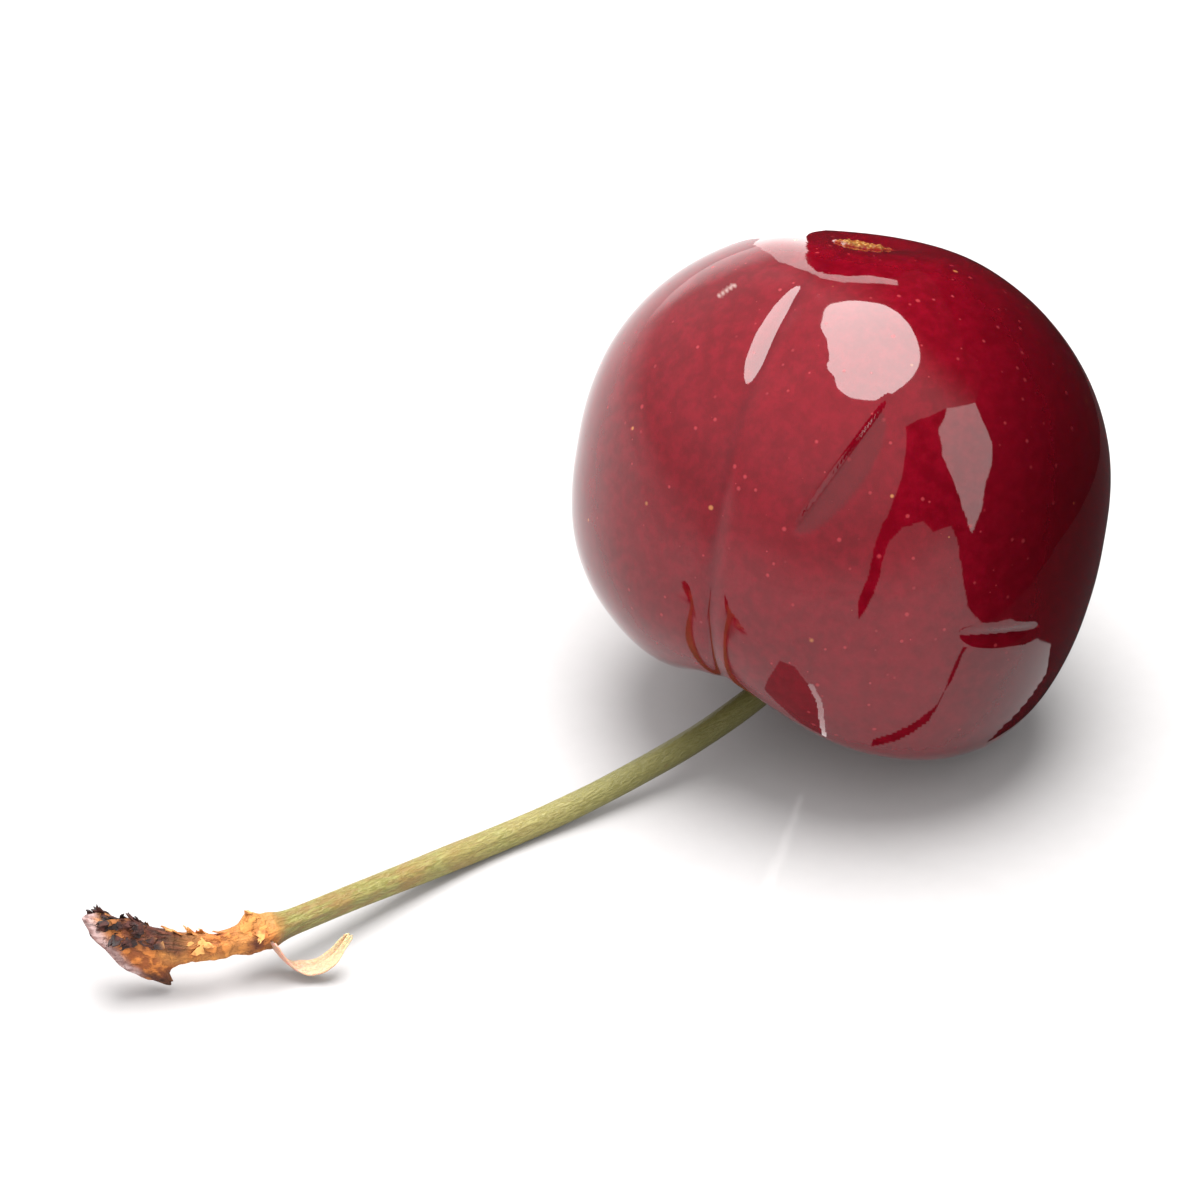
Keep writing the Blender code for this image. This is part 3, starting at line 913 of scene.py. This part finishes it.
class Surface:
    """A material being wired: short calls for the nodes that every finish uses."""

    def __init__(self, name):
        self.material = bpy.data.materials.new(name)
        self.material.use_nodes = True
        self.tree = self.material.node_tree
        self.shader = self.tree.nodes["Principled BSDF"]
        self.place = add(self.tree, "ShaderNodeTexCoord").outputs["Object"]

    def join(self, source, target):
        self.tree.links.new(source, target)

    def group(self, tree, vector=None, **values):
        """One of the shared masks, on Object coordinates unless told otherwise."""
        node = add(self.tree, "ShaderNodeGroup", node_tree=tree)
        self.join(vector or self.place, node.inputs["Vector"])
        for name, value in values.items():
            node.inputs[name].default_value = value
        return node.outputs["Mask"]

    def attribute(self, name, output="Fac"):
        return add(self.tree, "ShaderNodeAttribute", attribute_name=name).outputs[output]

    def noise(self, scale):
        """Plain soft noise."""
        texture = add(self.tree, "ShaderNodeTexNoise", {"Scale": scale})
        self.join(self.place, texture.inputs["Vector"])
        return texture.outputs["Fac"]

    def blend(self, factor, first, second, amount=None):
        """Mix two colours; a colour may be a socket or a value, amount scales the mix."""
        if amount is not None:
            factor = self.times(factor, amount)
        node = add(self.tree, "ShaderNodeMix", data_type="RGBA")
        colours = [socket for socket in node.inputs if socket.type == "RGBA"]
        self.feed(factor, node.inputs[0])
        self.feed(first, colours[0])
        self.feed(second, colours[1])
        return next(socket for socket in node.outputs if socket.type == "RGBA")

    def tint(self, colour, *coats):
        """Lay colours over one another, each a mask, a colour and its strength."""
        for mask, coat, amount in coats:
            colour = self.blend(mask, colour, coat, amount)
        return colour

    def feed(self, value, socket):
        if isinstance(value, bpy.types.NodeSocket):
            self.join(value, socket)
        elif isinstance(value, tuple):
            socket.default_value = (*value, 1.0)
        else:
            socket.default_value = value

    def maths(self, operation, first, second):
        node = add(self.tree, "ShaderNodeMath", operation=operation)
        self.feed(first, node.inputs[0])
        self.feed(second, node.inputs[1])
        return node.outputs[0]

    def times(self, first, second):
        return self.maths("MULTIPLY", first, second)

    def spread(self, value, low, high):
        """Map 0..1 to low..high."""
        node = add(self.tree, "ShaderNodeMapRange", {"To Min": low, "To Max": high})
        self.join(value, node.inputs["Value"])
        return node.outputs["Result"]

    def relief(self, height, depth, below=None):
        """Raise the surface by a mask, over another relief if one is given."""
        node = add(self.tree, "ShaderNodeBump", {"Distance": depth})
        self.join(height, node.inputs["Height"])
        if below is not None:
            self.join(below, node.inputs["Normal"])
        return node.outputs["Normal"]

    def finish(self, colour, roughness, normal, **fixed):
        self.feed(colour, self.shader.inputs["Base Color"])
        self.feed(roughness, self.shader.inputs["Roughness"])
        self.join(normal, self.shader.inputs["Normal"])
        for name, value in fixed.items():
            self.feed(value, self.shader.inputs[name.replace("_", " ")])
        return self.material


def skin_material(mottle, speckle):
    """Deep red waxy skin with pale pores, the seam line and the corky scar; painted shade on
    its right-hand side, in a crease and in the stalk cavity, and a painted glint.
    """
    skin = Surface("cherry_skin")
    clouds = skin.group(mottle, Scale=170.0, Detail=2.0, Low=0.35, High=0.68)
    fine = skin.group(mottle, Scale=1500.0, Detail=3.0, Low=0.3, High=0.75)
    grain = skin.group(mottle, Scale=4200.0, Detail=2.0, Low=0.35, High=0.7)
    pores = skin.group(speckle, Scale=1400.0, Dot=0.24, Kept=0.8)
    flecks = skin.group(speckle, Scale=620.0, Dot=0.13, Kept=0.4)
    scar = skin.attribute("scar")
    cork = skin.group(mottle, Scale=5200.0, Detail=4.0, Low=0.4, High=0.62)

    colour = skin.blend(clouds, (0.101, 0.0003, 0.0041), (0.121, 0.0005, 0.0052))
    colour = skin.tint(
        colour,
        (fine, (0.195, 0.0017, 0.0105), 0.45),
        (grain, (0.085, 0.0003, 0.0030), 0.25),
        (pores, (0.380, 0.045, 0.055), 0.5),
        (flecks, (0.480, 0.210, 0.070), 0.6),
        # painted shade on the viewer's right-hand side
        (skin.attribute("right_side_shade"), (0.022, 0.0001, 0.0010), 0.85),
        (skin.attribute("seam"), (0.050, 0.0006, 0.0035), 0.35),
        # painted shade in the stalk cavity
        (skin.attribute("hollow"), (0.080, 0.0040, 0.0050), 0.5),
        # painted shade in the first crease
        (skin.attribute("crease_shade"), (0.066, 0.0060, 0.0080), 0.62))
    corky = skin.blend(cork, (0.17, 0.055, 0.013), (0.42, 0.23, 0.07))
    colour = skin.blend(scar, colour, corky)
    # Painted glint: a short pale streak.
    colour = skin.blend(skin.attribute("painted_glint"), colour, (0.330, 0.230, 0.210), 0.85)

    roughness = skin.spread(fine, 0.24, 0.36)
    roughness = skin.maths("MAXIMUM", roughness, skin.times(scar, 0.75))
    dulled = skin.maths("MAXIMUM", scar, skin.times(pores, 0.25))
    gloss = skin.maths("SUBTRACT", 1.0, dulled)
    peel = skin.relief(fine, 0.012 * MM)
    pitted = skin.relief(pores, 0.018 * MM, below=peel)
    normal = skin.relief(skin.times(cork, scar), 0.12 * MM, below=pitted)
    return skin.finish(
        colour, roughness, normal, Coat_Weight=gloss, Coat_Roughness=0.035, Coat_IOR=1.52,
        IOR=1.4, Specular_IOR_Level=0.0, Subsurface_Weight=0.12, Subsurface_Scale=1.5 * MM)


def stalk_material(mottle, speckle):
    """Yellow-green stalk drying to brown, with bark and a torn woody end, darkened near the
    fruit by painted shade.
    """
    stem = Surface("stalk_skin")
    fibre = stem.attribute("fibre", "Vector")
    streaks = stem.group(mottle, fibre, Scale=2.4, Detail=4.0, Low=0.42, High=0.62)
    threads = stem.group(mottle, fibre, Scale=7.0, Detail=3.0, Low=0.35, High=0.65)
    patches = stem.group(mottle, Scale=420.0, Detail=3.0, Low=0.45, High=0.62)
    scurf = stem.group(mottle, Scale=2300.0, Detail=4.0, Low=0.4, High=0.6)
    dots = stem.group(speckle, Scale=1500.0, Dot=0.25, Kept=0.4)
    bark = stem.attribute("bark")
    dry = stem.attribute("dry")

    colour = stem.tint(
        stem.blend(threads, (0.182, 0.168, 0.041), (0.266, 0.246, 0.078)),
        # painted shade near the fruit
        (stem.attribute("shade_near_fruit"), (0.086, 0.079, 0.021), 0.85),
        (dots, (0.13, 0.07, 0.02), 0.4),
        (stem.times(streaks, dry), (0.215, 0.105, 0.040), 0.5),
        (stem.times(patches, dry), (0.270, 0.120, 0.035), 0.35))
    scurfy = stem.blend(scurf, (0.260, 0.070, 0.016), (0.570, 0.185, 0.036))
    scurfy = stem.blend(patches, scurfy, (0.640, 0.290, 0.075), 0.55)
    colour = stem.blend(bark, colour, scurfy)
    colour = stem.blend(stem.attribute("collar"), colour, (0.075, 0.016, 0.011), 0.85)
    maroon = stem.blend(threads, (0.012, 0.004, 0.004), (0.075, 0.016, 0.010))
    colour = stem.blend(stem.attribute("rim"), colour, maroon, 0.92)
    wood = stem.blend(threads, (0.210, 0.120, 0.115), (0.440, 0.310, 0.300))
    colour = stem.blend(stem.attribute("torn"), colour, wood)

    roughness = stem.spread(bark, 0.42, 0.78)
    lined = stem.relief(threads, 0.03 * MM)
    normal = stem.relief(stem.times(scurf, bark), 0.09 * MM, below=lined)
    return stem.finish(colour, roughness, normal, IOR=1.45)


def flake_material(mottle):
    """Bark chips, dark maroon on the heel and tan on the neck."""
    chip = Surface("bark_chip")
    grain = chip.group(mottle, Scale=1900.0, Detail=4.0, Low=0.4, High=0.62)
    dark = chip.blend(grain, (0.012, 0.004, 0.004), (0.070, 0.018, 0.012))
    tan = chip.blend(grain, (0.420, 0.140, 0.030), (0.640, 0.330, 0.100))
    colour = chip.blend(chip.attribute("neck"), dark, tan)
    return chip.finish(colour, chip.spread(grain, 0.6, 0.85), chip.relief(grain, 0.05 * MM))


def bract_material(mottle, speckle):
    """Pale papery scale, pinkish where it joins and straw coloured at its end."""
    paper = Surface("papery_scale")
    fibre = paper.attribute("fibre", "Vector")
    lines = paper.group(mottle, fibre, Scale=6.0, Detail=3.0, Low=0.4, High=0.62)
    spots = paper.group(speckle, Scale=2600.0, Dot=0.3, Kept=0.25)
    outer = paper.attribute("outer")
    colour = paper.blend(outer, (0.560, 0.350, 0.260), (0.560, 0.490, 0.270))
    colour = paper.tint(colour, (lines, (0.420, 0.240, 0.150), 0.35),
                        (spots, (0.300, 0.120, 0.060), 0.5))
    return paper.finish(
        colour, paper.spread(lines, 0.5, 0.7), paper.relief(lines, 0.03 * MM),
        Subsurface_Weight=0.5, Subsurface_Scale=0.5 * MM)


def dress(piece, material):
    piece.data.materials.clear()
    piece.data.materials.append(material)


# ---- studio

def view_directions():
    """The camera's right, up and back directions."""
    a, e = VIEW_AZIMUTH, VIEW_ELEVATION
    back = Vector((sin(a) * cos(e), -cos(a) * cos(e), sin(e)))
    right = Vector((cos(a), sin(a), 0.0))
    return right, back.cross(right), back


def make_camera(fruit_middle):
    right, up, back = view_directions()
    aim = Vector(fruit_middle) + right * AIM_RIGHT + up * AIM_UP
    lens = bpy.data.cameras.new("view")
    lens.sensor_width = 36.0
    lens.lens = lens.sensor_width * VIEW_DISTANCE / VIEW_WIDTH
    lens.clip_start = 0.01
    lens.clip_end = 20.0
    camera = bpy.data.objects.new("view", lens)
    camera.location = aim + back * VIEW_DISTANCE
    camera.rotation_mode = "QUATERNION"
    camera.rotation_quaternion = back.to_track_quat("Z", "Y")
    link(camera)
    bpy.context.scene.camera = camera


def make_floor():
    deselect_all()
    bpy.ops.mesh.primitive_plane_add(size=FLOOR_SIZE, location=(0.0, 0.0, 0.0))
    floor = bpy.context.active_object
    floor.name = "pale_floor"
    paper = Surface("pale_floor")
    tooth = paper.noise(900.0)
    colour = paper.blend(tooth, (0.400, 0.394, 0.395), (0.420, 0.415, 0.417))
    dress(floor, paper.finish(colour, 0.7, paper.relief(tooth, 0.01 * MM)))


def make_softbox(about):
    """One broad oval light overhead, its long side away from the viewer."""
    light = bpy.data.lights.new("overhead_softbox", "AREA")
    light.shape = "ELLIPSE"
    light.size, light.size_y = SOFTBOX_SIZE
    light.energy = SOFTBOX_POWER
    light.color = (1.0, 0.985, 0.975)
    lamp = bpy.data.objects.new("overhead_softbox", light)
    right, _, _ = view_directions()
    towards = Vector(SOFTBOX_DIRECTION).normalized()
    forward = towards.cross(right).normalized()
    turned = Matrix((forward.cross(towards), forward, towards)).transposed()
    lamp.location = Vector(about) + towards * SOFTBOX_DISTANCE
    lamp.rotation_mode = "QUATERNION"
    lamp.rotation_quaternion = turned.to_quaternion()
    link(lamp)


def inside(outline, x, y):
    """Which of the points are within the outline."""
    hits = np.zeros(len(x), dtype=bool)
    for (x0, y0), (x1, y1) in zip(outline, outline[1:] + outline[:1]):
        if y0 != y1:
            crossed = x < x0 + (x1 - x0) * (y - y0) / (y1 - y0)
            hits ^= ((y0 > y) != (y1 > y)) & crossed
    return hits


def within_any(outlines, x, y):
    return np.any([inside(outline, x, y) for outline in outlines], axis=0)


def make_card(name, about, tall, span, finishes):
    """A grid bent round the fruit, upright or flat, and cut to its outlines.

    Only reflections see it: it paints dark and pale reflections into the glossy skin, and its
    pale parts glow though they are no lamp.  Each finish is its outlines and its material;
    where they overlap the later one wins.
    """
    right, _, _ = view_directions()
    forward = Vector(UPWARDS).cross(right)
    first, last = span
    columns = round((last - first) / CARD_STEP)
    rows = round((CARD_HEIGHT if tall else CARD_RADIUS) / CARD_STEP)
    deselect_all()
    bpy.ops.mesh.primitive_grid_add(x_subdivisions=columns, y_subdivisions=rows, size=1.0)
    card = bpy.context.active_object
    card.name = name
    mesh = card.data
    flat = read_points(mesh)
    turns = first + (flat[:, 0] + 0.5) * (last - first)
    steps = (flat[:, 1] + 0.5) * rows * CARD_STEP
    corners = np.empty(len(mesh.polygons) * 4, dtype=int)
    mesh.polygons.foreach_get("vertices", corners)
    corners = corners.reshape(-1, 4)
    centres = turns[corners].mean(axis=1), steps[corners].mean(axis=1)
    chosen = np.full(len(corners), -1, dtype=np.int32)
    for index, (outlines, material) in enumerate(finishes):
        chosen[within_any(outlines, *centres)] = index
        mesh.materials.append(material)
    mesh.polygons.foreach_set("material_index", np.maximum(chosen, 0))
    mesh.polygons.foreach_set("select", chosen < 0)
    radius = (np.full(len(steps), CARD_RADIUS) if tall else steps) * MM
    angles = np.radians(turns)
    across = (radius * np.cos(angles))[:, None] * np.array(right)
    away = (radius * np.sin(angles))[:, None] * np.array(forward)
    placed = across + away + np.array([about[0], about[1], 0.0])
    placed[:, 2] = steps * MM if tall else 0.1 * MM
    write_points(mesh, placed)
    enter("EDIT")
    bpy.ops.mesh.select_mode(type="FACE")
    bpy.ops.mesh.delete(type="FACE")
    enter("OBJECT")
    card.visible_camera = False
    card.visible_diffuse = False
    card.visible_shadow = False


def cloth_material(name, dark, light):
    """Dull cloth for a card, between two colours; the dark and grey cloths put painted shade
    into reflections.
    """
    cloth = Surface(name)
    nap = cloth.noise(300.0)
    return cloth.finish(cloth.blend(nap, dark, light), 0.9, cloth.relief(nap, 0.1 * MM))


def make_cards(about):
    # The felt and the grey cloth are painted shade and shadow that only reflections see.
    felt = cloth_material("dark_felt", (0.008, 0.002, 0.003), (0.020, 0.004, 0.005))
    floor_shade_grey = cloth_material("grey_shade_mat", (0.09, 0.085, 0.085), (0.13, 0.12, 0.12))
    # Glowing card for painted reflections and a painted highlight.
    glow = Surface("reflection_glow")
    strength = glow.spread(glow.noise(60.0), *GLOW_STRENGTH)
    glow.join(strength, glow.shader.inputs["Emission Strength"])
    glow.feed((1.0, 0.97, 0.95), glow.shader.inputs["Emission Color"])
    make_card("upright_card", about, True, CARD_RANGE,
              (((DARK_CARD,), felt), (REFLECTION_GLOW_CARDS, glow.material)))
    make_card("floor_mat", about, False, MAT_RANGE,
              ((SHADE_MATS, felt), ((GREY_SHADE_MAT,), floor_shade_grey), ((HIGHLIGHT_GLOW_MAT,), glow.material)))


def make_room():
    """Pale walls, level with the floor low down, and dark on the right-hand side."""
    world = bpy.data.worlds.new("studio")
    world.use_nodes = True
    tree = world.node_tree
    background = tree.nodes["Background"]
    direction = add(tree, "ShaderNodeTexCoord").outputs["Generated"]

    def facing(towards, near, far, first, last):
        """Map how far a direction agrees with another, softly, to first..last."""
        dot = add(tree, "ShaderNodeVectorMath", {1: towards}, operation="DOT_PRODUCT")
        cut = add(tree, "ShaderNodeMapRange",
                  {"From Min": near, "From Max": far, "To Min": first, "To Max": last},
                  interpolation_type="SMOOTHSTEP")
        tree.links.new(direction, dot.inputs[0])
        wire(tree, (dot, "Value", cut, "Value"))
        return cut.outputs["Result"]

    def combine(operation, first, second):
        node = add(tree, "ShaderNodeMath", operation=operation)
        tree.links.new(first, node.inputs[0])
        if isinstance(second, float):
            node.inputs[1].default_value = second
        else:
            tree.links.new(second, node.inputs[1])
        return node.outputs[0]

    walls = combine("ADD", facing(UPWARDS, *LOW_WALL), facing(UPWARDS, *HIGH_WALL))
    walls = combine("MULTIPLY", walls, facing(*DARK_SIDE))
    seen = combine("ADD", walls, facing(*DOORWAY))

    # Matt surfaces get more of the walls' light than reflections show.
    diffuse = add(tree, "ShaderNodeLightPath").outputs["Is Diffuse Ray"]
    extra = combine("MULTIPLY", diffuse, FILL_LIGHT)
    level = combine("MULTIPLY", seen, combine("ADD", extra, 1.0))
    tree.links.new(level, background.inputs["Strength"])
    background.inputs["Color"].default_value = (1.0, 0.985, 0.98, 1.0)
    bpy.context.scene.world = world


def main():
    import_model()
    fruit, fruit_middle = make_fruit()
    stalk, route, stations, radii = make_stalk(fruit_middle)
    flakes = make_flakes(stalk)
    bract = make_bract(route, stations, radii)

    mottle = build_mottle()
    speckle = build_speckle()
    dress(fruit, skin_material(mottle, speckle))
    dress(stalk, stalk_material(mottle, speckle))
    dress(flakes, flake_material(mottle))
    dress(bract, bract_material(mottle, speckle))

    for piece, node, slot in ((fruit, "fruit", "skin"), (stalk, "stalk", "stalk"),
                              (bract, "papery_bract", "bract")):
        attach(piece, "root")
        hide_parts(node)
    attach(flakes, "root")

    make_room()
    make_floor()
    make_cards(fruit_middle)
    make_softbox(fruit_middle)
    make_camera(fruit_middle)
    bpy.context.scene.view_settings.view_transform = "Standard"


main()
